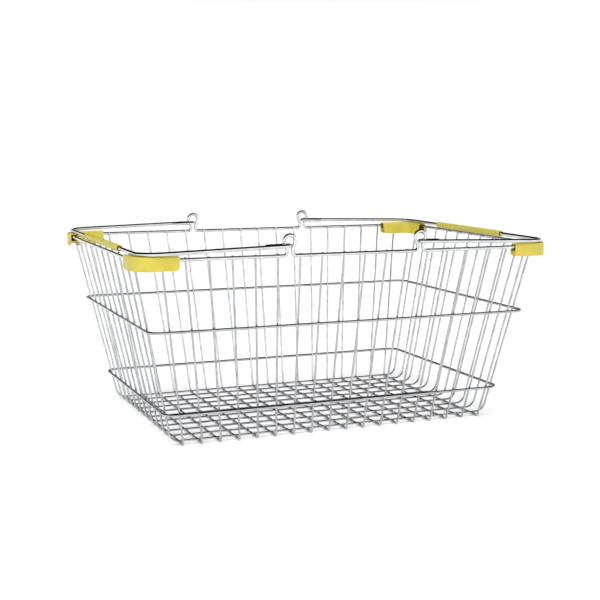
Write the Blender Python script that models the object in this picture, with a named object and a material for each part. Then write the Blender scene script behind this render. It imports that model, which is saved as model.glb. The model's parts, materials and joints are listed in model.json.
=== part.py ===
"""Wire shopping basket with two folding carry handles.

A welded open-top basket: cross wires and long wires are bent into U shapes and welded to
each other under the base, two band wires go round the outside of the walls, and a thicker
rim wire closes the mouth. The rim is one wire. Twice on each long side it is bent up into
a keyhole loop, and the hooked ends of the two handles swing in those loops. Each handle
carries a soft grip, and a press-on guard covers each rim corner.

Frame: origin on the floor under the middle of the basket, X along its length, Y across,
Z up. The handles lie folded outwards, on top of the corner guards.
Units: metres.
"""
import math

import bmesh
import bpy
from mathutils import Quaternion, Vector

# ---- driving dimensions ------------------------------------------------------------------
MESH_WIRE = 0.0024          # diameter of the cross and long wires
BAND_WIRE = 0.0032          # diameter of the two band wires
RIM_WIRE = 0.0040           # diameter of the rim wire
HANDLE_WIRE = 0.0045        # diameter of the handle wires

BASE_LENGTH = 0.397         # between the bends of the long wires, on their axes
BASE_WIDTH = 0.256          # between the bends of the cross wires, on their axes
RIM_LENGTH = 0.498          # on the rim wire's axis
RIM_WIDTH = 0.348           # on the rim wire's axis
DEPTH = 0.210               # from the cross wires' axis to the rim wire's axis
RIM_CORNER = 0.020          # corner radius of the rim's axis

CROSS_WIRES = 18
LONG_WIRES = 11
CROSS_BASE_MARGIN = 0.0115  # last cross wire to the end of the base
LONG_BASE_MARGIN = 0.008    # last long wire to the side of the base
RIM_MARGIN = 0.0275         # last leg to the rim's corner, on all four sides
CROSS_BEND = 0.004          # bend radius of the cross wires, on the axis
LONG_BEND = 0.012           # bend radius of the long wires, on the axis

LOWER_BAND_HEIGHT = 0.036   # above the cross wires' axis
UPPER_BAND_HEIGHT = 0.131
BAND_CORNER = 0.014

LOOP_SPACING = 0.1586       # between the two loops of one side
LOOP_HOLE = 0.009           # diameter of the hole in a loop
LOOP_RISE = 0.0158          # middle of the hole above the rim's axis
LOOP_NECK_GAP = 0.0022      # clear gap between a loop's two legs
LOOP_NECK_HEIGHT = 0.0058   # where the legs begin to open into the loop
LOOP_FLARE = 0.004          # bend radius from the rim into a leg
LOOP_NECK_BEND = 0.005      # bend radius where the legs open

HANDLE_CORNER = 0.024       # bend radius of the handle, on the axis
HANDLE_BAR_INSET = 0.003    # the bar's axis inside the rim's axis, handle folded
HOOK_TAIL = 0.026           # pivot to the tip of the doubled-back tail
GRIP_DIAMETER = 0.0076
GRIP_LENGTH = 0.160
GRIP_ROUND = 0.0006         # edge of the grip's ends
RIGHT_GRIP_SHIFT = 0.004    # along Y, where the sleeve sits on the bar
LEFT_GRIP_SHIFT = -0.012

GUARD_WALL = 0.0013
GUARD_SIDE_LEG = 0.046      # from the rim's corner point to the end of a guard, on a long side
GUARD_END_LEG = 0.039       # the same, on an end
GUARD_DROP = 0.0112         # skirt below the rim's axis
GUARD_END_ROUND = 0.0055    # rounding of a skirt's lower end corners
GUARD_EDGE = 0.0009         # rounding of the guard's top edges
GUARD_SIDE_CLEARANCE = 0.0005
GUARD_TOP_CLEARANCE = 0.0006

WELD_GAP = 0.00035          # left between wires that are welded together
RUN_CLEARANCE = 0.0005      # between a hook and the loop that it straddles
REST_CLEARANCE = 0.0003     # between a folded handle and the guards
BORE_CLEARANCE = 0.0003     # between a grip's bore and its wire

WIRE_SIDES = 8              # facets round a thin wire; flats face down and out
ROD_SIDES = 12              # facets round the rim and the handles
BEND_STEPS = 4
CORNER_STEPS = 5
LOOP_STEPS = 12
HOOK_STEPS = 8
GRIP_SIDES = 20

# ---- sizes that follow ---------------------------------------------------------------------
Z_CROSS = MESH_WIRE / 2
Z_LONG = Z_CROSS + MESH_WIRE + WELD_GAP
Z_RIM = Z_CROSS + DEPTH
Z_LEG_TOP = Z_RIM + RIM_WIRE / 2
LEG_TO_RIM = (RIM_WIRE + MESH_WIRE) / 2 + WELD_GAP
LEG_TO_BAND = (BAND_WIRE + MESH_WIRE) / 2 + WELD_GAP


def wall_lean(base_half, rim_half, z_base):
    """Angle from the vertical of a wall whose legs lie against the inside of the rim."""
    run = rim_half - base_half
    rise = Z_RIM - z_base
    return math.atan2(run, rise) - math.asin(LEG_TO_RIM / math.hypot(run, rise))


SIDE_LEAN = wall_lean(BASE_WIDTH / 2, RIM_WIDTH / 2, Z_CROSS)
END_LEAN = wall_lean(BASE_LENGTH / 2, RIM_LENGTH / 2, Z_LONG)

# A loop's two legs open from the neck by this angle, as tangents of the loop.
NECK_HALF = (LOOP_NECK_GAP + RIM_WIRE) / 2
LOOP_RADIUS = (LOOP_HOLE + RIM_WIRE) / 2
ABOVE_NECK = LOOP_RISE - LOOP_NECK_HEIGHT
OPENING = math.asin(LOOP_RADIUS / math.hypot(NECK_HALF, ABOVE_NECK)) - math.atan2(NECK_HALF, ABOVE_NECK)

# A hook hangs where the legs close in on it.
HOOK_RADIUS = (RIM_WIRE + HANDLE_WIRE) / 2 + RUN_CLEARANCE
PIVOT_RISE = LOOP_RISE - (LOOP_RADIUS - HOOK_RADIUS) / math.sin(OPENING)
PIVOT_X = LOOP_SPACING / 2
PIVOT_Z = Z_RIM + PIVOT_RISE
GUARD_TOP = RIM_WIRE / 2 + GUARD_TOP_CLEARANCE + GUARD_WALL
BAR_REST_RISE = GUARD_TOP + REST_CLEARANCE + HANDLE_WIRE / 2
BAR_REACH = RIM_LENGTH / 2 - HANDLE_BAR_INSET - PIVOT_X


# ---- helpers -------------------------------------------------------------------------------
def clear_scene():
    for item in list(bpy.data.objects):
        bpy.data.objects.remove(item, do_unlink=True)


def principled(name, hex_colour, metallic, roughness):
    """A Principled material from an sRGB hex colour."""
    def to_linear(value):
        return value / 12.92 if value <= 0.04045 else ((value + 0.055) / 1.055) ** 2.4

    channels = [int(hex_colour[i:i + 2], 16) / 255 for i in (1, 3, 5)]
    material = bpy.data.materials.new(name)
    material.use_nodes = True
    shader = material.node_tree.nodes["Principled BSDF"]
    shader.inputs["Base Color"].default_value = [to_linear(c) for c in channels] + [1.0]
    shader.inputs["Metallic"].default_value = metallic
    shader.inputs["Roughness"].default_value = roughness
    material.diffuse_color = shader.inputs["Base Color"].default_value
    return material


def place(name, data, material, parent=None):
    """Link an object with this data and material, and parent it."""
    item = bpy.data.objects.new(name, data)
    bpy.context.scene.collection.objects.link(item)
    data.materials.clear()
    data.materials.append(material)
    item.parent = parent
    return item


def bent(corners, closed=False, steps=BEND_STEPS):
    """Points of a wire's axis: straight runs between (point, bend radius) corners."""
    path = []
    count = len(corners)
    for i, (corner, radius) in enumerate(corners):
        at_end = not closed and i in (0, count - 1)
        if at_end or radius == 0:
            path.append(Vector(corner))
            continue
        here = Vector(corner)
        back = (Vector(corners[i - 1][0]) - here).normalized()
        ahead = (Vector(corners[(i + 1) % count][0]) - here).normalized()
        half = back.angle(ahead) / 2
        centre = here + (back + ahead).normalized() * radius / math.sin(half)
        first = here + back * radius / math.tan(half) - centre
        last = here + ahead * radius / math.tan(half) - centre
        swing = first.rotation_difference(last)
        for k in range(steps + 1):
            path.append(centre + Quaternion().slerp(swing, k / steps) @ first)
    return path


def wire(name, path, diameter, sides, material, closed=False, z_up=True, parent=None):
    """A wire along the path: a bevelled curve whose flats touch the true diameter."""
    curve = bpy.data.curves.new(name, "CURVE")
    curve.dimensions = "3D"
    curve.twist_mode = "Z_UP" if z_up else "MINIMUM"
    curve.bevel_depth = diameter / 2 / math.cos(math.pi / sides)
    curve.bevel_resolution = sides // 2 - 2
    curve.use_fill_caps = not closed
    spline = curve.splines.new("POLY")
    spline.points.add(len(path) - 1)
    for point, place_at in zip(spline.points, path):
        point.co = (*place_at, 1.0)
        point.tilt = math.pi / sides
    spline.use_cyclic_u = closed
    return place(name, curve, material, parent)


def spread(count, half_span):
    """Evenly spaced places from -half_span to +half_span."""
    return [half_span * (2 * i / (count - 1) - 1) for i in range(count)]


# ---- basket --------------------------------------------------------------------------------
def cross_wires(material):
    """U-shaped wires across the base, with a leg up each long side."""
    y_base = BASE_WIDTH / 2
    y_top = y_base + (Z_LEG_TOP - Z_CROSS) * math.tan(SIDE_LEAN)
    base_x = spread(CROSS_WIRES, BASE_LENGTH / 2 - CROSS_BASE_MARGIN)
    top_x = spread(CROSS_WIRES, RIM_LENGTH / 2 - RIM_MARGIN)
    for number, (x_low, x_high) in enumerate(zip(base_x, top_x), start=1):
        corners = [((x_high, -y_top, Z_LEG_TOP), 0),
                   ((x_low, -y_base, Z_CROSS), CROSS_BEND),
                   ((x_low, y_base, Z_CROSS), CROSS_BEND),
                   ((x_high, y_top, Z_LEG_TOP), 0)]
        wire(f"cross_wire_{number:02d}", bent(corners), MESH_WIRE, WIRE_SIDES, material)


def long_wires(material):
    """U-shaped wires along the base, on top of the cross wires, with a leg up each end."""
    x_base = BASE_LENGTH / 2
    x_top = x_base + (Z_LEG_TOP - Z_LONG) * math.tan(END_LEAN)
    base_y = spread(LONG_WIRES, BASE_WIDTH / 2 - LONG_BASE_MARGIN)
    top_y = spread(LONG_WIRES, RIM_WIDTH / 2 - RIM_MARGIN)
    for number, (y_low, y_high) in enumerate(zip(base_y, top_y), start=1):
        corners = [((-x_top, y_high, Z_LEG_TOP), 0),
                   ((-x_base, y_low, Z_LONG), LONG_BEND),
                   ((x_base, y_low, Z_LONG), LONG_BEND),
                   ((x_top, y_high, Z_LEG_TOP), 0)]
        wire(f"long_wire_{number:02d}", bent(corners), MESH_WIRE, WIRE_SIDES, material)


def band_wire(name, height, material):
    """A closed wire round the outside of all four walls."""
    z = Z_CROSS + height
    x = BASE_LENGTH / 2 + (z - Z_LONG) * math.tan(END_LEAN) + LEG_TO_BAND / math.cos(END_LEAN)
    y = BASE_WIDTH / 2 + height * math.tan(SIDE_LEAN) + LEG_TO_BAND / math.cos(SIDE_LEAN)
    corners = [((sx * x, sy * y, z), BAND_CORNER)
               for sx, sy in ((1, -1), (1, 1), (-1, 1), (-1, -1))]
    path = bent(corners, closed=True, steps=CORNER_STEPS)
    wire(name, path, BAND_WIRE, WIRE_SIDES, material, closed=True)


def keyhole_loop(middle):
    """Corners (along the side, above the rim, bend radius) of one loop of the rim wire."""
    corners = [(middle - NECK_HALF, 0, LOOP_FLARE),
               (middle - NECK_HALF, LOOP_NECK_HEIGHT, LOOP_NECK_BEND)]
    for k in range(LOOP_STEPS + 1):
        turn = math.pi + OPENING - (math.pi + 2 * OPENING) * k / LOOP_STEPS
        corners.append((middle + LOOP_RADIUS * math.cos(turn),
                        LOOP_RISE + LOOP_RADIUS * math.sin(turn), 0))
    corners += [(middle + NECK_HALF, LOOP_NECK_HEIGHT, LOOP_NECK_BEND),
                (middle + NECK_HALF, 0, LOOP_FLARE)]
    return corners


def rim_wire(material):
    """The rim: one closed wire with two keyhole loops on each long side."""
    x, y = RIM_LENGTH / 2, RIM_WIDTH / 2
    corners = []
    for side in (-1, 1):
        for middle in (-PIVOT_X, PIVOT_X):
            corners += [((-side * along, side * y, Z_RIM + up), radius)
                        for along, up, radius in keyhole_loop(middle)]
        corners += [((-side * x, side * y, Z_RIM), RIM_CORNER),
                    ((-side * x, -side * y, Z_RIM), RIM_CORNER)]
    path = bent(corners, closed=True)
    wire("rim_wire", path, RIM_WIRE, ROD_SIDES, material, closed=True, z_up=False)


def guard_section(skirt_rise):
    """Outline (outward from the rim's axis, above it) of a guard, clockwise from outside."""
    lean = max(SIDE_LEAN, END_LEAN)

    def inner_face(z):
        clear = LEG_TO_RIM + MESH_WIRE / 2 + GUARD_SIDE_CLEARANCE
        return z * math.tan(lean) - clear / math.cos(lean)

    bottom = skirt_rise - GUARD_DROP
    ceiling = GUARD_TOP - GUARD_WALL
    outer_face = RIM_WIRE / 2 + GUARD_SIDE_CLEARANCE
    outside = outer_face + GUARD_WALL
    inside_shift = GUARD_WALL / math.cos(lean)
    top_inside = inner_face(GUARD_TOP) - inside_shift
    return [(outside, bottom),
            (outside, GUARD_TOP - GUARD_EDGE),
            (outside - GUARD_EDGE, GUARD_TOP),
            (top_inside + GUARD_EDGE, GUARD_TOP),
            (inner_face(GUARD_TOP - GUARD_EDGE) - inside_shift, GUARD_TOP - GUARD_EDGE),
            (inner_face(bottom) - inside_shift, bottom),
            (inner_face(bottom), bottom),
            (inner_face(ceiling), ceiling),
            (outer_face, ceiling),
            (outer_face, bottom)]


def leg_end(leg):
    """Sections (past the corner bend, rise of the skirt) that round a leg's lower corner."""
    ends = []
    for k in range(BEND_STEPS):
        turn = math.pi / 2 * k / (BEND_STEPS - 1)
        ends.append((leg - RIM_CORNER - GUARD_END_ROUND * (1 - math.cos(turn)),
                     GUARD_END_ROUND * (1 - math.sin(turn))))
    return ends


def guard_mesh(name, y_leg, x_leg):
    """A channel over a rim corner, modelled about the corner bend's centre at +X +Y."""
    sections = []
    for along, rise in leg_end(y_leg):
        sections.append([(RIM_CORNER + u, -along, z) for u, z in guard_section(rise)])
    for k in range(CORNER_STEPS + 1):
        turn = math.pi / 2 * k / CORNER_STEPS
        sections.append([((RIM_CORNER + u) * math.cos(turn), (RIM_CORNER + u) * math.sin(turn), z)
                         for u, z in guard_section(0)])
    for along, rise in reversed(leg_end(x_leg)):
        sections.append([(-along, RIM_CORNER + u, z) for u, z in guard_section(rise)])

    shape = bmesh.new()
    rows = [[shape.verts.new(point) for point in section] for section in sections]
    for row, following in zip(rows, rows[1:]):
        for k in range(len(row)):
            n = (k + 1) % len(row)
            shape.faces.new((row[k], row[n], following[n], following[k]))
    shape.faces.new(rows[0])
    shape.faces.new(rows[-1])
    bmesh.ops.recalc_face_normals(shape, faces=shape.faces)
    mesh = bpy.data.meshes.new(name)
    shape.to_mesh(mesh)
    shape.free()
    return mesh


def corner_guards(material):
    """Two mouldings, one the mirror of the other, turned to the corners of the rim."""
    meshes = [guard_mesh("corner_guard", GUARD_END_LEG, GUARD_SIDE_LEG),
              guard_mesh("mirrored_corner_guard", GUARD_SIDE_LEG, GUARD_END_LEG)]
    for quarter, (name, sx, sy) in enumerate((("back_right", 1, 1), ("back_left", -1, 1),
                                              ("front_left", -1, -1), ("front_right", 1, -1))):
        guard = place(f"corner_guard_{name}", meshes[quarter % 2], material)
        guard.location = (sx * (RIM_LENGTH / 2 - RIM_CORNER), sy * (RIM_WIDTH / 2 - RIM_CORNER), Z_RIM)
        guard.rotation_euler.z = quarter * math.pi / 2


# ---- handles -------------------------------------------------------------------------------
def handle_path():
    """The handle's axis about its pivot: tail, hook, arm, bar, arm, hook, tail."""
    loop_y = RIM_WIDTH / 2
    hook = []
    for k in range(HOOK_STEPS + 1):
        turn = math.pi / 2 + math.pi * k / HOOK_STEPS
        hook.append((HOOK_RADIUS * (1 + math.cos(turn)), HOOK_RADIUS * math.sin(turn)))
    corners = [((HOOK_TAIL, HOOK_RADIUS - loop_y, 0), 0)]
    corners += [((x, y - loop_y, 0), 0) for x, y in hook]
    corners += [((BAR_REACH, -loop_y - HOOK_RADIUS, 0), HANDLE_CORNER),
                ((BAR_REACH, loop_y + HOOK_RADIUS, 0), HANDLE_CORNER)]
    corners += [((x, loop_y - y, 0), 0) for x, y in reversed(hook)]
    corners += [((HOOK_TAIL, loop_y - HOOK_RADIUS, 0), 0)]
    return bent(corners, steps=CORNER_STEPS)


def grip_mesh():
    """A sleeve with a round bore, turned about the Y axis."""
    bore = HANDLE_WIRE / 2 / math.cos(math.pi / ROD_SIDES) + BORE_CLEARANCE
    bore_corner = bore / math.cos(math.pi / GRIP_SIDES)
    outside = GRIP_DIAMETER / 2
    half = GRIP_LENGTH / 2
    outline = [(bore_corner, -half), (outside - GRIP_ROUND, -half), (outside, GRIP_ROUND - half),
               (outside, half - GRIP_ROUND), (outside - GRIP_ROUND, half), (bore_corner, half)]
    shape = bmesh.new()
    points = [shape.verts.new((radius, along, 0)) for radius, along in outline]
    edges = [shape.edges.new((points[i - 1], points[i])) for i in range(len(points))]
    bmesh.ops.spin(shape, geom=points + edges, axis=(0, 1, 0), cent=(0, 0, 0),
                   steps=GRIP_SIDES, angle=2 * math.pi, use_merge=True)
    bmesh.ops.recalc_face_normals(shape, faces=shape.faces)
    mesh = bpy.data.meshes.new("handle_grip")
    shape.to_mesh(mesh)
    shape.free()
    mesh.shade_smooth()
    mesh.set_sharp_from_angle(angle=math.radians(30))
    return mesh


def handle(side, facing, grip_shift, plated, vinyl):
    """One handle on an empty at its pivot, folded out and down on to the guards."""
    pivot = bpy.data.objects.new(f"{side}_handle_pivot", None)
    bpy.context.scene.collection.objects.link(pivot)
    droop = math.asin((PIVOT_RISE - BAR_REST_RISE) / BAR_REACH)
    pivot.location = (facing * PIVOT_X, 0, PIVOT_Z)
    pivot.rotation_euler = (0, droop, 0 if facing > 0 else math.pi)
    wire(f"{side}_handle_wire", handle_path(), HANDLE_WIRE, ROD_SIDES, plated, parent=pivot)
    grip = place(f"{side}_handle_grip", grip_mesh(), vinyl, parent=pivot)
    grip.location = (BAR_REACH, facing * grip_shift, 0)


def build_basket():
    clear_scene()
    mesh_plating = principled("bright_plated_mesh_wire", "#C9CACC", 1.0, 0.22)
    rod_plating = principled("bright_plated_rod", "#CDCED0", 1.0, 0.16)
    grip_vinyl = principled("yellow_vinyl_sleeve", "#D9CF5C", 0.0, 0.45)
    guard_plastic = principled("yellow_moulded_guard", "#E3D75A", 0.0, 0.38)
    cross_wires(mesh_plating)
    long_wires(mesh_plating)
    band_wire("lower_band_wire", LOWER_BAND_HEIGHT, mesh_plating)
    band_wire("upper_band_wire", UPPER_BAND_HEIGHT, mesh_plating)
    rim_wire(rod_plating)
    corner_guards(guard_plastic)
    handle("right", 1, RIGHT_GRIP_SHIFT, rod_plating, grip_vinyl)
    handle("left", -1, LEFT_GRIP_SHIFT, rod_plating, grip_vinyl)


build_basket()
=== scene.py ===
"""A welded wire shopping basket with two folding carry handles, dressed around its CAD frame."""
import json
import math

import bmesh
import bpy
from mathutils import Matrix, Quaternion, Vector


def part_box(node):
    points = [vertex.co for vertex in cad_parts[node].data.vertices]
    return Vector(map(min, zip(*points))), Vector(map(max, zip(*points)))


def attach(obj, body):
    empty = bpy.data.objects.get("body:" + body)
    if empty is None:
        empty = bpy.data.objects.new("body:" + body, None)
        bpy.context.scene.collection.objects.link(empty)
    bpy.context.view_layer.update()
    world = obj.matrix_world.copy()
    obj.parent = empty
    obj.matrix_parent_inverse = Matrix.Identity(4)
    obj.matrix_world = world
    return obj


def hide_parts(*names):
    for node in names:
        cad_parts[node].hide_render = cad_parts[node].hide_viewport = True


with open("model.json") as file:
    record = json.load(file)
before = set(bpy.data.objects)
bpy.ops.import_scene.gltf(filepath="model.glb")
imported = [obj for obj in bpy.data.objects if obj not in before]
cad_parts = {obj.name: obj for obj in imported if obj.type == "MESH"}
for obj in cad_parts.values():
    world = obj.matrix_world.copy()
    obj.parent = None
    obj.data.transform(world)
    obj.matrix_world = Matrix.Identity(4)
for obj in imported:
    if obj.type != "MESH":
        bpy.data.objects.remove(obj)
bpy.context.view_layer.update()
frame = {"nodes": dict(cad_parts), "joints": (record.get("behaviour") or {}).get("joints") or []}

# ---- Cross wires ---------------------------------------------------------------------------
# Eighteen lengths of drawn mild steel wire, each bent twice into a U, so that one wire runs
# down a long side, under the base and up the other side. They are zinc plated after welding.
MESH_RADIUS = 0.0012
CROSS_BEND = 0.004
CROSS_HALF_BASE = 0.128          # to the corner of the bend, on the wire's axis
CROP_BURR = 0.00025              # rounding that the cropping shear leaves on a cut end
DEGREES_PER_STEP = 9             # facets along a bend
WIRE_FACETS = 20                 # facets round a wire
SMOOTH_UP_TO = 20                # degrees: facets and bends shade smooth, and cut ends stay crisp


def linear(hex_colour):
    """An sRGB hex colour as the linear colour that a shader reads."""
    channels = [int(hex_colour[i:i + 2], 16) / 255 for i in (1, 3, 5)]
    return [c / 12.92 if c <= 0.04045 else ((c + 0.055) / 1.055) ** 2.4 for c in channels] + [1.0]


def add_node(tree, kind, settings=None, links=None, **values):
    """Adds a node: settings are its properties, values its sockets, links its incoming wires."""
    node = tree.nodes.new(kind)
    for key, value in (settings or {}).items():
        setattr(node, key, value)
    for key, value in values.items():
        node.inputs[key.replace("_", " ")].default_value = value
    for key, source in (links or {}).items():
        tree.links.new(source, node.inputs[key])
    return node


def plated_steel(name, hex_bright, hex_dull, roughness, dull_patch, grain):
    """Bright plating over drawn steel: duller patches where the bath ran thin, and a fine
    grain from the wire die. dull_patch and grain are lengths in metres."""
    material = bpy.data.materials.new(name)
    material.use_nodes = True
    tree = material.node_tree
    shader = tree.nodes["Principled BSDF"]
    place = add_node(tree, "ShaderNodeTexCoord").outputs["Object"]
    patches = add_node(tree, "ShaderNodeTexNoise", links={"Vector": place},
                       Scale=1 / dull_patch, Detail=3.0, Roughness=0.55)
    grains = add_node(tree, "ShaderNodeTexNoise", links={"Vector": place},
                      Scale=1 / grain, Detail=2.0, Roughness=0.6)
    tone = add_node(tree, "ShaderNodeValToRGB", links={"Fac": patches.outputs["Fac"]})
    tone.color_ramp.elements[0].position = 0.36
    tone.color_ramp.elements[0].color = linear(hex_dull)
    tone.color_ramp.elements[1].position = 0.62
    tone.color_ramp.elements[1].color = linear(hex_bright)
    sheen = add_node(tree, "ShaderNodeMapRange", links={"Value": patches.outputs["Fac"]})
    sheen.inputs["From Min"].default_value = 0.3
    sheen.inputs["From Max"].default_value = 0.7
    sheen.inputs["To Min"].default_value = roughness * 1.5
    sheen.inputs["To Max"].default_value = roughness * 0.8
    relief = add_node(tree, "ShaderNodeBump", links={"Height": grains.outputs["Fac"]},
                      Strength=0.25, Distance=0.00003)
    tree.links.new(tone.outputs["Color"], shader.inputs["Base Color"])
    tree.links.new(sheen.outputs["Result"], shader.inputs["Roughness"])
    tree.links.new(relief.outputs["Normal"], shader.inputs["Normal"])
    shader.inputs["Metallic"].default_value = 1.0
    return material


def bend_wire(name, corners, radius, closed=False):
    """A wire drawn out of its end face: straight runs between (point, bend radius) corners.
    Its normals are weighted by area, so that a straight run shades straight up to the bend."""
    corners = [(Vector(point), bend) for point, bend in corners]
    if closed:                   # it begins and ends at the butt weld, halfway along a run
        weld = (corners[-1][0] + corners[0][0]) / 2
        corners = [(weld, 0), *corners, (weld, 0)]
    here = corners[0][0]
    heading = corners[1][0] - here
    bpy.ops.object.select_all(action="DESELECT")
    bpy.ops.mesh.primitive_circle_add(vertices=WIRE_FACETS, radius=radius, fill_type="NGON",
                                      location=here,
                                      rotation=heading.to_track_quat("Z", "Y").to_euler())
    wire = bpy.context.object
    wire.name = wire.data.name = name
    bpy.ops.object.transform_apply(location=True, rotation=True, scale=True)
    bpy.ops.object.mode_set(mode="EDIT")
    bpy.ops.mesh.select_all(action="SELECT")
    for k, (corner, bend) in enumerate(corners[1:], start=1):
        tangent = corner
        if bend:
            back = (here - corner).normalized()
            ahead = (corners[k + 1][0] - corner).normalized()
            half = back.angle(ahead) / 2
            tangent = corner + back * bend / math.tan(half)
        if (tangent - here).length > 1e-6:
            bpy.ops.mesh.extrude_region_move(TRANSFORM_OT_translate={"value": tangent - here})
        here = tangent
        if bend:
            turn = math.pi - 2 * half
            steps = max(2, math.ceil(math.degrees(turn) / DEGREES_PER_STEP))
            bpy.ops.mesh.spin(steps=steps, angle=-turn,
                              center=corner + (back + ahead).normalized() * bend / math.sin(half),
                              axis=(-back).cross(ahead).normalized())
            here = corner + ahead * bend / math.tan(half)
    shape = bmesh.from_edit_mesh(wire.data)
    for face in shape.faces:
        face.select_set(len(face.verts) == WIRE_FACETS)
    bmesh.update_edit_mesh(wire.data)
    if closed:
        bpy.ops.mesh.delete(type="ONLY_FACE")
        bpy.ops.mesh.select_all(action="SELECT")
        bpy.ops.mesh.remove_doubles(threshold=1e-5)
    else:
        bpy.ops.mesh.region_to_loop()
        bpy.ops.mesh.bevel(offset=CROP_BURR, segments=2, affect="EDGES")
        bpy.ops.mesh.select_all(action="SELECT")
    bpy.ops.mesh.normals_make_consistent(inside=False)
    bpy.ops.object.mode_set(mode="OBJECT")
    bpy.ops.object.shade_smooth_by_angle(angle=math.radians(SMOOTH_UP_TO))
    straights = wire.modifiers.new("straights", "WEIGHTED_NORMAL")
    straights.weight, straights.keep_sharp = 80, True
    bpy.ops.object.modifier_apply(modifier="straights")
    return wire


def fit(piece, node, body, material):
    """The piece gets its finish, rides on the body and stands for the CAD node."""
    piece.data.materials.clear()
    piece.data.materials.append(material)
    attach(piece, body)
    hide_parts(node)


# Zinc plating on drawn wire: grey, half bright, a little cloudy along its length.
zinc = plated_steel("bright_zinc_plated_wire", "#B9BABD", "#A4A5A8", 0.16, 0.009, 0.0004)

RIM_RADIUS = 0.002
rim_low, rim_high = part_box("rim_wire")
rim_z = rim_low.z + RIM_RADIUS
leg_top = rim_z + RIM_RADIUS     # the cropped ends stand flush with the top of the rim

cross_names = sorted(n for n in frame["nodes"] if n.startswith("cross_wire_"))
cross_wires = {}                 # name: (base x, top x, base y, top y)
for name in cross_names:
    low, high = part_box(name)
    near, far = sorted((low.x + MESH_RADIUS, high.x - MESH_RADIUS), key=abs)
    top_y = high.y - MESH_RADIUS
    cross_wires[name] = (near, far, CROSS_HALF_BASE, top_y)
    wire = bend_wire(name + "_drawn", [((far, -top_y, leg_top), 0),
                                       ((near, -CROSS_HALF_BASE, MESH_RADIUS), CROSS_BEND),
                                       ((near, CROSS_HALF_BASE, MESH_RADIUS), CROSS_BEND),
                                       ((far, top_y, leg_top), 0)], MESH_RADIUS)
    fit(wire, name, "basket", zinc)

# ---- Long wires ----------------------------------------------------------------------------
# Eleven more of the same wire, bent on a wider former. They lie on top of the cross wires
# along the base and turn up both ends of the basket.
LONG_BEND = 0.012
LONG_HALF_BASE = 0.1985

long_names = sorted(n for n in frame["nodes"] if n.startswith("long_wire_"))
long_wires = {}
for name in long_names:
    low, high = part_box(name)
    middle = (low.y + high.y) / 2
    near, far = sorted((low.y + MESH_RADIUS, high.y - MESH_RADIUS), key=abs)
    top_x = high.x - MESH_RADIUS
    floor_z = low.z + MESH_RADIUS
    long_wires[name] = (near, far, LONG_HALF_BASE, top_x)
    wire = bend_wire(name + "_drawn", [((-top_x, far, leg_top), 0),
                                       ((-LONG_HALF_BASE, near, floor_z), LONG_BEND),
                                       ((LONG_HALF_BASE, near, floor_z), LONG_BEND),
                                       ((top_x, far, leg_top), 0)], MESH_RADIUS)
    fit(wire, name, "basket", zinc)

# ---- Band wires ----------------------------------------------------------------------------
# Two closed wires round the outside of the walls, a gauge heavier. Each is bent to a
# rectangle, butt welded where its ends meet, and spot welded to every leg that it crosses.
BAND_RADIUS = 0.0016
BAND_CORNER = 0.014
band_axes = {}
for name in ("lower_band_wire", "upper_band_wire"):
    low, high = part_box(name)
    x, y, z = high.x - BAND_RADIUS, high.y - BAND_RADIUS, (low.z + high.z) / 2
    band_axes[name] = (x, y, z)
    wire = bend_wire(name + "_drawn", [((x, y, z), BAND_CORNER), ((-x, y, z), BAND_CORNER),
                                       ((-x, -y, z), BAND_CORNER), ((x, -y, z), BAND_CORNER)],
                     BAND_RADIUS, closed=True)
    fit(wire, name, "basket", zinc)

# ---- Rim wire ------------------------------------------------------------------------------
# One heavier wire closes the mouth. Twice on each long side it is bent up into a keyhole
# loop, in which a handle's hook swings. It is plated brighter than the mesh.
RIM_CORNER = 0.020
LOOP_SPACING = 0.1586
LOOP_RADIUS = 0.0065             # of the wire's axis round the hole
LOOP_RISE = 0.0158               # middle of the hole above the rim's axis
NECK_HALF = 0.0031               # between a leg's axis and the middle of the loop
NECK_HEIGHT = 0.0058
NECK_BEND = 0.005
FLARE = 0.004
LOOP_CORNERS = 4

# Nickel and chrome on a ground rod: clear dark and white reflections, hardly any grain.
chrome = plated_steel("nickel_chrome_plated_rod", "#D3D4D7", "#C2C3C6", 0.07, 0.014, 0.0005)


def keyhole(middle):
    """(along, up, bend radius) corners of one loop."""
    above = LOOP_RISE - NECK_HEIGHT
    opening = math.asin(LOOP_RADIUS / math.hypot(NECK_HALF, above)) - math.atan2(NECK_HALF, above)
    sweep = math.pi + 2 * opening
    corners = [(middle - NECK_HALF, 0, FLARE), (middle - NECK_HALF, NECK_HEIGHT, NECK_BEND)]
    for k in range(LOOP_CORNERS):
        turn = math.pi + opening - sweep * (k + 0.5) / LOOP_CORNERS
        out = LOOP_RADIUS / math.cos(sweep / 2 / LOOP_CORNERS)
        corners.append((middle + out * math.cos(turn), LOOP_RISE + out * math.sin(turn), LOOP_RADIUS))
    return corners + [(middle + NECK_HALF, NECK_HEIGHT, NECK_BEND), (middle + NECK_HALF, 0, FLARE)]


rim_x, rim_y = rim_high.x - RIM_RADIUS, rim_high.y - RIM_RADIUS
rim_corners = []
for side in (1, -1):
    rim_corners.append(((side * rim_x, side * rim_y, rim_z), RIM_CORNER))
    for middle in (-LOOP_SPACING / 2, LOOP_SPACING / 2):
        rim_corners += [((-side * along, side * rim_y, rim_z + up), bend)
                        for along, up, bend in keyhole(middle)]
    rim_corners.append(((-side * rim_x, side * rim_y, rim_z), RIM_CORNER))
rim = bend_wire("rim_wire_bent", rim_corners, RIM_RADIUS, closed=True)
fit(rim, "rim_wire", "basket", chrome)

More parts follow.
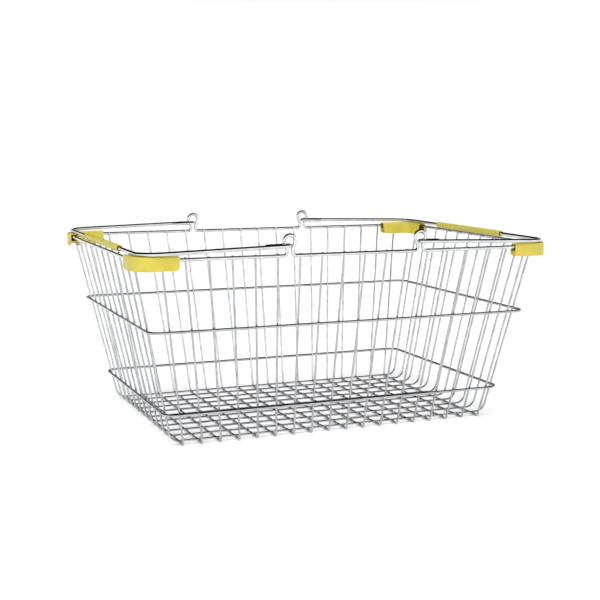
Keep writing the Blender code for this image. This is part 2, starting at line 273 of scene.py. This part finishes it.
# ---- Welds ---------------------------------------------------------------------------------
# Resistance welds: a small upset bead where two wires were squeezed together hot. There is
# one at every crossing of the base, of the bands and of the rim.
BEAD_RADIUS = 0.00095
WALL_BEAD_OUT = MESH_RADIUS + 0.0002    # from a leg's axis to the bead outside it
weld_metal = plated_steel("zinc_plated_weld_bead", "#9C9DA0", "#7E7F82", 0.38, 0.004, 0.0003)


def beads(name, places):
    """One bead, modelled once and copied to every place."""
    bpy.ops.object.select_all(action="DESELECT")
    bpy.ops.mesh.primitive_uv_sphere_add(segments=8, ring_count=6, radius=BEAD_RADIUS,
                                         location=places[0])
    piece = bpy.context.object
    piece.name = piece.data.name = name
    bpy.ops.object.transform_apply(location=True, rotation=True, scale=True)
    bpy.ops.object.mode_set(mode="EDIT")
    bpy.ops.mesh.select_all(action="SELECT")
    for before, after in zip(places, places[1:]):
        bpy.ops.mesh.duplicate_move(TRANSFORM_OT_translate={"value": after - before})
    bpy.ops.object.mode_set(mode="OBJECT")
    bpy.ops.object.shade_smooth()
    piece.data.materials.append(weld_metal)
    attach(piece, "basket")


def leg_place(base, top, base_z, height):
    """Point at a height on the straight line from a bend's corner to a leg's top."""
    share = (height - base_z) / (leg_top - base_z)
    return Vector(base).lerp(Vector(top), share)


base_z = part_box(long_names[0])[0].z + MESH_RADIUS
base_welds = [Vector((cross[0], long[0], (MESH_RADIUS + base_z) / 2))
              for cross in cross_wires.values() for long in long_wires.values()]
beads("base_weld_beads", base_welds)

wall_lines = []                  # (base point, top point, outward direction, height of the base)
for near, far, half, top in cross_wires.values():
    for side in (-1, 1):
        wall_lines.append(((near, side * half, MESH_RADIUS), (far, side * top, leg_top),
                           Vector((0, side, 0)), MESH_RADIUS))
for near, far, half, top in long_wires.values():
    for side in (-1, 1):
        wall_lines.append(((side * half, near, base_z), (side * top, far, leg_top),
                           Vector((side, 0, 0)), base_z))
for label, height, slot in (("lower_band", band_axes["lower_band_wire"][2], "band_wire"),
                            ("upper_band", band_axes["upper_band_wire"][2], "band_wire"),
                            ("rim", rim_z, "rim_wire")):
    places = [leg_place(base, top, z, height) + out * WALL_BEAD_OUT
              for base, top, out, z in wall_lines]
    beads(label + "_weld_beads", places)

# ---- Corner guards -------------------------------------------------------------------------
# Four press-on channels, injection moulded in polypropylene, each over one corner of the rim.
# The skirts hang down outside and inside the wire, with rounded shoulders and rounded ends.
GUARD_WALL = 0.0013
GUARD_SHOULDER = 0.0012
GUARD_END_ROUND = 0.0055
GUARD_REACH = 0.00908            # from the rim's axis in to the foot of the inner skirt
GUARD_LEAN = 0.00321             # the inner skirt's top edge is this much further out
GUARD_WEB = 0.0062               # height above the skirts' edge of the web that goes under the rim
WEB_IN_GAP, WEB_OUT_GAP = 0.0020, 0.0008    # from the skirts' outer faces to the web's edges
GUARD_EDGE = 0.0003              # rounding of the moulding's edges
SHOULDER_FOLD = 0.0002           # inside a shoulder the wall's inner face folds up; this closes it
NEAR = 1e-5                      # two places this close are the same


def moulded_polypropylene():
    """Opaque yellow polypropylene from a spark-eroded mould: a fine even grain, and slightly
    warmer streaks where the melt flowed."""
    material = bpy.data.materials.new("moulded_polypropylene")
    material.use_nodes = True
    tree = material.node_tree
    shader = tree.nodes["Principled BSDF"]
    place = add_node(tree, "ShaderNodeTexCoord").outputs["Object"]
    flow = add_node(tree, "ShaderNodeTexNoise", links={"Vector": place},
                    Scale=1 / 0.016, Detail=2.0, Roughness=0.5, Distortion=0.8)
    tone = add_node(tree, "ShaderNodeValToRGB", links={"Fac": flow.outputs["Fac"]})
    tone.color_ramp.elements[0].position = 0.38
    tone.color_ramp.elements[0].color = linear("#B6AB38")
    tone.color_ramp.elements[1].position = 0.66
    tone.color_ramp.elements[1].color = linear("#C2AF40")
    grain = add_node(tree, "ShaderNodeTexNoise", links={"Vector": place},
                     Scale=1 / 0.00035, Detail=2.0, Roughness=0.6)
    relief = add_node(tree, "ShaderNodeBump", links={"Height": grain.outputs["Fac"]},
                      Strength=0.2, Distance=0.00005)
    tree.links.new(tone.outputs["Color"], shader.inputs["Base Color"])
    tree.links.new(relief.outputs["Normal"], shader.inputs["Normal"])
    shader.inputs["Roughness"].default_value = 0.36
    shader.inputs["IOR"].default_value = 1.49
    shader.inputs["Subsurface Weight"].default_value = 0.08
    shader.inputs["Subsurface Radius"].default_value = (0.0012, 0.0009, 0.0003)
    return material


def pick(piece, elements, test):
    """In edit mode, selects the vertices, edges or faces whose middle passes the test."""
    bpy.ops.mesh.select_mode(type={"verts": "VERT", "edges": "EDGE", "faces": "FACE"}[elements])
    bpy.ops.mesh.select_all(action="DESELECT")
    shape = bmesh.from_edit_mesh(piece.data)
    for item in getattr(shape, elements):
        points = [item.co] if elements == "verts" else [v.co for v in item.verts]
        if test(sum(points, Vector()) / len(points), item):
            item.select_set(True)
    shape.select_flush_mode()
    bmesh.update_edit_mesh(piece.data)


polypropylene = moulded_polypropylene()


# The pattern for all four: a channel along the end wall, spun round the rim's corner, then run
# along the long side, with the web in it.
low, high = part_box("corner_guard_back_right")
outer, inner = high.x, rim_x - GUARD_REACH
turn_centre = Vector((rim_x - RIM_CORNER, rim_y - RIM_CORNER, 0))
run_middle, run_length = (low.y + turn_centre.y) / 2, turn_centre.y - low.y
bpy.ops.object.select_all(action="DESELECT")
bpy.ops.mesh.primitive_cube_add(size=1, location=((outer + inner) / 2, run_middle, (low.z + high.z) / 2),
                                scale=(outer - inner, run_length, high.z - low.z))
pattern = bpy.context.object
pattern.name = pattern.data.name = "corner_guard_pattern"
bpy.ops.object.transform_apply(location=True, rotation=True, scale=True)
bpy.ops.object.mode_set(mode="EDIT")
pick(pattern, "faces", lambda at, face: face.normal.z < -0.5 or abs(face.normal.y) > 0.5)
bpy.ops.mesh.delete(type="FACE")
pick(pattern, "verts", lambda at, v: at.x < (outer + inner) / 2 and at.z > (low.z + high.z) / 2)
bpy.ops.transform.translate(value=(GUARD_LEAN, 0, 0))
web_in, web_out = inner + WEB_IN_GAP, outer - WEB_OUT_GAP
web_middle = ((web_in + web_out) / 2, run_middle, low.z + GUARD_WEB)
bpy.ops.mesh.primitive_plane_add(size=1, location=web_middle)
bpy.ops.transform.resize(value=(web_out - web_in, run_length, 1), center_override=web_middle)
pick(pattern, "edges", lambda at, edge: at.y > turn_centre.y - NEAR)
bpy.ops.mesh.spin(steps=12, angle=-math.pi / 2, center=turn_centre, axis=(0, 0, 1))
bpy.ops.mesh.extrude_region_move(TRANSFORM_OT_translate={"value": (low.x - turn_centre.x, 0, 0)})
bpy.ops.mesh.select_all(action="SELECT")
bpy.ops.mesh.remove_doubles(threshold=NEAR)
bpy.ops.mesh.normals_make_consistent(inside=False)
pick(pattern, "verts", lambda at, v: at.z < low.z + NEAR and (at.y < low.y + NEAR or at.x < low.x + NEAR))
bpy.ops.mesh.bevel(offset=GUARD_END_ROUND, segments=7, affect="VERTICES")
pick(pattern, "edges", lambda at, edge: len(edge.link_faces) == 2 and at.z > high.z - NEAR
     and edge.calc_face_angle(0) > 1.0)
bpy.ops.mesh.bevel(offset=GUARD_SHOULDER, segments=4, affect="EDGES")
bpy.ops.mesh.select_all(action="SELECT")
bpy.ops.mesh.normals_make_consistent(inside=False)
bpy.ops.object.mode_set(mode="OBJECT")
if max(pattern.data.polygons, key=lambda face: face.center.z).normal.z < 0:
    pattern.data.flip_normals()          # the channel is open, so its outside is told by its top
wall = pattern.modifiers.new("wall", "SOLIDIFY")
wall.thickness, wall.offset = GUARD_WALL, -1
bpy.ops.object.modifier_apply(modifier="wall")
bpy.ops.object.mode_set(mode="EDIT")
bpy.ops.mesh.select_all(action="SELECT")
bpy.ops.mesh.remove_doubles(threshold=SHOULDER_FOLD)
bpy.ops.object.mode_set(mode="OBJECT")
edges = pattern.modifiers.new("edges", "BEVEL")
edges.width, edges.segments, edges.limit_method = GUARD_EDGE, 2, "ANGLE"
bpy.ops.object.modifier_apply(modifier="edges")

for node, side_x, side_y in (("corner_guard_back_right", 1, 1), ("corner_guard_back_left", -1, 1),
                             ("corner_guard_front_left", -1, -1), ("corner_guard_front_right", 1, -1)):
    piece = pattern.copy()
    piece.data = pattern.data.copy()
    piece.name = piece.data.name = node + "_moulding"
    bpy.context.collection.objects.link(piece)
    bpy.ops.object.select_all(action="DESELECT")
    piece.select_set(True)
    bpy.context.view_layer.objects.active = piece
    bpy.ops.object.mode_set(mode="EDIT")
    bpy.ops.mesh.select_all(action="SELECT")
    bpy.ops.transform.resize(value=(side_x, side_y, 1), center_override=(0, 0, 0))
    bpy.ops.mesh.normals_make_consistent(inside=False)
    bpy.ops.object.mode_set(mode="OBJECT")
    bpy.ops.object.shade_smooth()
    piece.modifiers.new("flats", "WEIGHTED_NORMAL").weight = 80
    bpy.ops.object.modifier_apply(modifier="flats")
    fit(piece, node, "basket", polypropylene)
bpy.data.objects.remove(pattern)

# ---- Handles -------------------------------------------------------------------------------
# Two bows of heavy plated rod. Each end is bent back on itself into a hook that hangs in a
# keyhole loop, with a short tail that runs back beside the arm.
HANDLE_RADIUS = 0.00224
HANDLE_CORNER = 0.024
HOOK_RADIUS = 0.00475
HOOK_TAIL = 0.026
for joint in frame["joints"]:
    side = joint["child"].split("_")[0]
    low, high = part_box(f"{side}_handle_grip")
    pivot = Vector(joint["pos_m"])
    bar = Vector(((low.x + high.x) / 2, 0, (low.z + high.z) / 2))
    reach = (bar - pivot).length
    out = (bar - pivot).normalized()

    def in_plane(along, across):
        """A point in the bow's plane: out from the pivot, and across the basket."""
        return pivot + out * along + Vector((0, across, 0))

    corners = [(in_plane(HOOK_TAIL, HOOK_RADIUS - rim_y), 0),
               (in_plane(0, HOOK_RADIUS - rim_y), HOOK_RADIUS),
               (in_plane(0, -HOOK_RADIUS - rim_y), HOOK_RADIUS),
               (in_plane(reach, -HOOK_RADIUS - rim_y), HANDLE_CORNER),
               (in_plane(reach, HOOK_RADIUS + rim_y), HANDLE_CORNER),
               (in_plane(0, HOOK_RADIUS + rim_y), HOOK_RADIUS),
               (in_plane(0, rim_y - HOOK_RADIUS), HOOK_RADIUS),
               (in_plane(HOOK_TAIL, rim_y - HOOK_RADIUS), 0)]
    rod = bend_wire(f"{side}_handle_rod", corners, HANDLE_RADIUS)
    fit(rod, f"{side}_handle_wire", f"{side}_handle", chrome)

# ---- Grips ---------------------------------------------------------------------------------
# A sleeve of soft extruded vinyl on the bar of each handle, cut square at both ends. The bore
# is a little larger than the rod, so a dark ring shows at the cut.
GRIP_WALL = 0.0011
GRIP_EDGE = 0.0005               # rounding of the cut edges


def soft_vinyl():
    """Plasticised PVC: a satin skin with faint lines along the extrusion and a little dirt."""
    material = bpy.data.materials.new("plasticised_pvc_sleeve")
    material.use_nodes = True
    tree = material.node_tree
    shader = tree.nodes["Principled BSDF"]
    place = add_node(tree, "ShaderNodeTexCoord").outputs["Object"]
    stretched = add_node(tree, "ShaderNodeMapping", links={"Vector": place}, Scale=(1, 0.04, 1))
    lines = add_node(tree, "ShaderNodeTexNoise", links={"Vector": stretched.outputs["Vector"]},
                     Scale=1 / 0.0006, Detail=2.0, Roughness=0.5)
    soil = add_node(tree, "ShaderNodeTexNoise", links={"Vector": place},
                    Scale=1 / 0.012, Detail=4.0, Roughness=0.6)
    tone = add_node(tree, "ShaderNodeValToRGB", links={"Fac": soil.outputs["Fac"]})
    tone.color_ramp.elements[0].position = 0.32
    tone.color_ramp.elements[0].color = linear("#B2A841")
    tone.color_ramp.elements[1].position = 0.6
    tone.color_ramp.elements[1].color = linear("#BFB549")
    relief = add_node(tree, "ShaderNodeBump", links={"Height": lines.outputs["Fac"]},
                      Strength=0.25, Distance=0.00006)
    tree.links.new(tone.outputs["Color"], shader.inputs["Base Color"])
    tree.links.new(relief.outputs["Normal"], shader.inputs["Normal"])
    shader.inputs["Roughness"].default_value = 0.42
    shader.inputs["IOR"].default_value = 1.53
    shader.inputs["Subsurface Weight"].default_value = 0.1
    shader.inputs["Subsurface Radius"].default_value = (0.0015, 0.001, 0.0004)
    return material


vinyl = soft_vinyl()
for side in ("left", "right"):
    low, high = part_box(f"{side}_handle_grip")
    middle, size = (low + high) / 2, high - low
    bpy.ops.object.select_all(action="DESELECT")
    bpy.ops.mesh.primitive_cylinder_add(vertices=40, radius=size.x / 2, depth=size.y,
                                        end_fill_type="NOTHING", location=middle,
                                        rotation=(math.pi / 2, 0, 0))
    sleeve = bpy.context.object
    sleeve.name = sleeve.data.name = f"{side}_handle_sleeve"
    bpy.ops.object.transform_apply(location=True, rotation=True, scale=True)
    wall = sleeve.modifiers.new("wall", "SOLIDIFY")
    wall.thickness, wall.offset = GRIP_WALL, -1
    edges = sleeve.modifiers.new("edges", "BEVEL")
    edges.width, edges.segments, edges.limit_method = GRIP_EDGE, 3, "ANGLE"
    bpy.ops.object.shade_smooth()
    sleeve.modifiers.new("flats", "WEIGHTED_NORMAL").weight = 80
    for modifier in ("wall", "edges", "flats"):
        bpy.ops.object.modifier_apply(modifier=modifier)
    fit(sleeve, f"{side}_handle_grip", f"{side}_handle", vinyl)

# ---- Studio --------------------------------------------------------------------------------
# A plain white floor under a white surround with a dark ceiling, which draws a dark line along
# the top of every rod. Two soft lights brighten the plastic and the floor, and stay out of the
# metal's reflections.
BACK_WALL, FRONT_WALL = 1.05, 2.0        # brightness of the surround behind and in front
FRONT_RISE = 0.24                        # how much higher the white reaches in front
WHITE_UP_TO, DARK_FROM = 0.105, 0.135    # heights in the surround, as sines of the elevation
CEILING = 0.01
bpy.ops.object.select_all(action="DESELECT")
bpy.ops.mesh.primitive_plane_add(size=60, location=(0, 0, -0.0005))
floor = bpy.context.object
floor.name = "studio_floor"
paper = bpy.data.materials.new("white_paper_floor")
paper.use_nodes = True
paper.node_tree.nodes["Principled BSDF"].inputs["Base Color"].default_value = (0.92, 0.92, 0.92, 1)
paper.node_tree.nodes["Principled BSDF"].inputs["Roughness"].default_value = 0.9
paper.node_tree.nodes["Principled BSDF"].inputs["Specular IOR Level"].default_value = 0.1
floor.data.materials.append(paper)

world = bpy.data.worlds.new("studio")
bpy.context.scene.world = world
world.use_nodes = True
tree = world.node_tree
direction = add_node(tree, "ShaderNodeTexCoord").outputs["Generated"]
split = add_node(tree, "ShaderNodeSeparateXYZ", links={"Vector": direction})
front = add_node(tree, "ShaderNodeMapRange", links={"Value": split.outputs["Y"]})
front.inputs["From Min"].default_value = 0.5
front.inputs["From Max"].default_value = -0.5
rise = add_node(tree, "ShaderNodeMath", {"operation": "MULTIPLY"}, {0: front.outputs["Result"]})
rise.inputs[1].default_value = FRONT_RISE
height = add_node(tree, "ShaderNodeMath", {"operation": "SUBTRACT"},
                  {0: split.outputs["Z"], 1: rise.outputs[0]})
ramp = add_node(tree, "ShaderNodeValToRGB", links={"Fac": height.outputs[0]})
ramp.color_ramp.elements[0].position = WHITE_UP_TO
ramp.color_ramp.elements[0].color = (1, 1, 1, 1)
ramp.color_ramp.elements[1].position = DARK_FROM
ramp.color_ramp.elements[1].color = (CEILING, CEILING, CEILING, 1)
boost = add_node(tree, "ShaderNodeMath", {"operation": "MULTIPLY_ADD"}, {0: front.outputs["Result"]})
boost.inputs[1].default_value = FRONT_WALL - BACK_WALL
boost.inputs[2].default_value = BACK_WALL
tree.links.new(ramp.outputs["Color"], tree.nodes["Background"].inputs["Color"])
tree.links.new(boost.outputs[0], tree.nodes["Background"].inputs["Strength"])

softbox_place = Vector((-1.1, -1.9, 1.35))
towards_basket = Vector((0, 0, 0.12)) - softbox_place
bpy.ops.object.light_add(type="AREA", location=softbox_place)
softbox = bpy.context.object
softbox.name = "front_softbox"
softbox.data.shape = "RECTANGLE"
softbox.data.size, softbox.data.size_y = 1.3, 0.6
softbox.data.energy = 16
softbox.rotation_euler = towards_basket.to_track_quat("-Z", "Y").to_euler()
softbox.visible_glossy = False

bpy.ops.object.light_add(type="SUN", location=(0, 0, 3), rotation=(math.radians(10), math.radians(-8), 0))
sun = bpy.context.object
sun.name = "overhead_light"
sun.data.energy = 3.5
sun.data.angle = math.radians(60)
sun.visible_glossy = False

# The camera stands low, a little to the left of the front.
LENS, SENSOR = 70.83, 36.0
AZIMUTH, ELEVATION, ROLL = math.radians(-22.45), math.radians(8.05), math.radians(0.17)
DISTANCE = 1.4759
TURNS_ABOUT = Vector((0, 0, 0.1012))
AIM = (0.0044, 0.0345)           # right of and above the point that it turns about
back = Vector((math.sin(AZIMUTH) * math.cos(ELEVATION), -math.cos(AZIMUTH) * math.cos(ELEVATION),
               math.sin(ELEVATION)))
right = Vector((math.cos(AZIMUTH), math.sin(AZIMUTH), 0))
up = back.cross(right)
bpy.ops.object.camera_add(location=TURNS_ABOUT + right * AIM[0] + up * AIM[1] + back * DISTANCE)
camera = bpy.context.object
camera.data.lens, camera.data.sensor_width = LENS, SENSOR
camera.data.clip_start = 0.05
camera.rotation_mode = "QUATERNION"
camera.rotation_quaternion = (-back).to_track_quat("-Z", "Y") @ Quaternion((0, 0, 1), ROLL)
bpy.context.scene.camera = camera
bpy.context.scene.view_settings.view_transform = "Standard"
